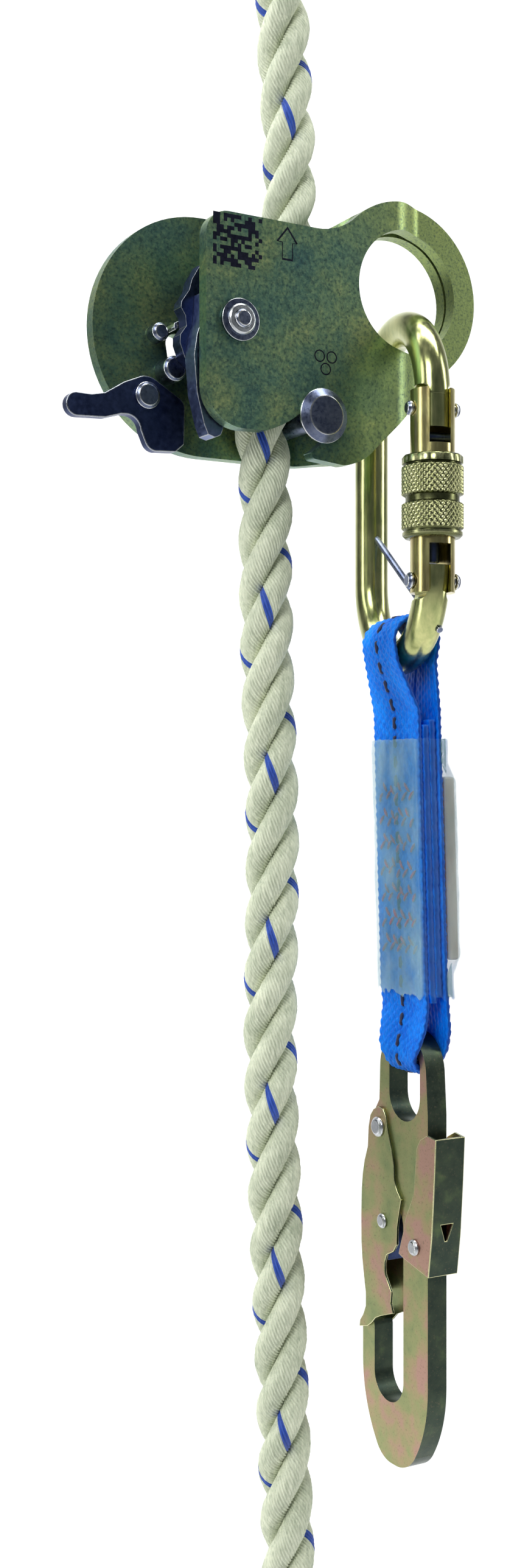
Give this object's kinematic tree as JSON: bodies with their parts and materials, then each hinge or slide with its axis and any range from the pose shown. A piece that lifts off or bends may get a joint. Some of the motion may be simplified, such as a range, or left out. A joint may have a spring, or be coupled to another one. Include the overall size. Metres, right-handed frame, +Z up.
{
  "type": "rope grab",
  "caption": "Guided rope grab on a three-strand rope, with a hinged plate, toothed cam and lever, screw-lock carabiner, webbing sling and snap hook.",
  "frame": {"origin": "on the rope's way through the grab, level with the pivot axle", "axes": "+Z up along the rope, +X from the rope to the connection eye, +Y from the front plate to the back plate"},
  "size_m": [0.1256, 0.0608, 0.5552],
  "materials": {
    "plate_steel": "yellow-green chromated steel plate, satin",
    "dark_steel": "dark blued steel, satin",
    "pin_steel": "grey turned steel",
    "spring_steel": "bright spring steel",
    "bronze": "sintered bronze bush",
    "rope_fibre": "three-strand polyamide rope, cream white with blue tracer yarns",
    "whipping": "blue whipping twine",
    "zinc_bright": "galvanised steel",
    "carabiner_steel": "pale yellow chromated steel",
    "webbing": "bright blue polyester webbing with dark and red stitching",
    "film": "clear shrink film",
    "tag": "grey translucent tag",
    "hook_steel": "iridescent yellow zinc on steel"
  },
  "bodies": {
    "frame": {"back_plate": "plate_steel", "pivot_axle": "pin_steel", "axle_washer": "pin_steel", "axle_collar": "pin_steel", "axle_spacers": "pin_steel", "closing_stud": "pin_steel", "stop_pin": "dark_steel", "guide_pin": "dark_steel", "spring_blade": "spring_steel", "lever_rivet": "pin_steel", "lever_spring": "spring_steel"},
    "front_plate": {"front_plate": "plate_steel"},
    "cam": {"cam": "dark_steel", "cam_arm": "dark_steel", "cam_bush": "bronze", "cam_rivets": "pin_steel"},
    "release_lever": {"release_lever": "dark_steel"},
    "rope": {"anchor_rope": "rope_fibre", "eye_splice": "rope_fibre", "thimble": "zinc_bright", "splice_whipping": "whipping", "rope_whipping": "whipping"},
    "carabiner": {"carabiner_body": "carabiner_steel", "gate_hinge_rivet": "pin_steel", "captive_bar": "pin_steel"},
    "gate": {"carabiner_gate": "carabiner_steel", "gate_latch_rivet": "pin_steel", "gate_cross_pin": "dark_steel", "gate_spring": "spring_steel", "gate_plunger": "pin_steel"},
    "lock_sleeve": {"lock_sleeve": "carabiner_steel"},
    "sling": {"webbing_sling": "webbing", "clear_sleeve": "film", "id_tag": "tag"},
    "hook": {"hook_body": "hook_steel", "keeper_rivet": "pin_steel", "lock_rivet": "pin_steel", "keeper_spring": "spring_steel"},
    "keeper": {"keeper": "hook_steel", "keeper_block": "dark_steel", "keeper_pin": "pin_steel"},
    "lock_lever": {"lock_lever": "hook_steel"}
  },
  "joints": [
    {"name": "front_plate_swing", "type": "hinge", "parent": "frame", "child": "front_plate", "pos_m": [-0.02, 0, 0], "axis": [0, -1, 0], "range_deg": [0, 20]},
    {"name": "cam_grip", "type": "hinge", "parent": "frame", "child": "cam", "pos_m": [-0.02, 0, 0], "axis": [0, -1, 0], "range_deg": [-8, 6], "stiffness_Nm_per_rad": 0.3},
    {"name": "release_lever_turn", "type": "hinge", "parent": "frame", "child": "release_lever", "pos_m": [-0.0394, 0, -0.0194], "axis": [0, -1, 0], "range_deg": [-10, 7.5]},
    {"name": "rope_run", "type": "slide", "parent": "frame", "child": "rope", "axis": [0.1635, 0, 0.9865], "range_m": [-0.01, 0.004]},
    {"name": "carabiner_swing", "type": "hinge", "parent": "front_plate", "child": "carabiner", "pos_m": [0.0386, -0.0055, 0.006], "axis": [0, -1, 0], "range_deg": [-1.5, 40]},
    {"name": "gate_hinge", "type": "hinge", "parent": "carabiner", "child": "gate", "pos_m": [0.0333, -0.02901, -0.0701], "axis": [-0.9755, 0.2199, 0], "range_deg": [0, 10], "stiffness_Nm_per_rad": 0.15},
    {"name": "sleeve_slide", "type": "slide", "parent": "gate", "child": "lock_sleeve", "axis": [0, 0, 1], "range_m": [0, 0.006]},
    {"name": "sling_swing", "type": "hinge", "parent": "carabiner", "child": "sling", "pos_m": [0.0386, -0.0055, -0.0875], "axis": [-0.2199, -0.9755, 0], "range_deg": [-1.5, 15]},
    {"name": "hook_swing", "type": "hinge", "parent": "sling", "child": "hook", "pos_m": [0.04, -0.008, -0.2022], "axis": [0, -1, 0], "range_deg": [-2, 6]},
    {"name": "keeper_hinge", "type": "hinge", "parent": "hook", "child": "keeper", "pos_m": [0.04, 0.002, -0.2289], "axis": [-1, 0, 0], "range_deg": [0, 11], "stiffness_Nm_per_rad": 0.2},
    {"name": "lock_lever_turn", "type": "hinge", "parent": "hook", "child": "lock_lever", "pos_m": [0.04, -0.018, -0.2602], "axis": [1, 0, 0], "range_deg": [-5.5, 0]}
  ],
  "couplings": [
    {"joint": "release_lever_turn", "follows": "cam_grip", "ratio": 1.25},
    {"joint": "lock_lever_turn", "follows": "keeper_hinge", "ratio": -0.5}
  ]
}
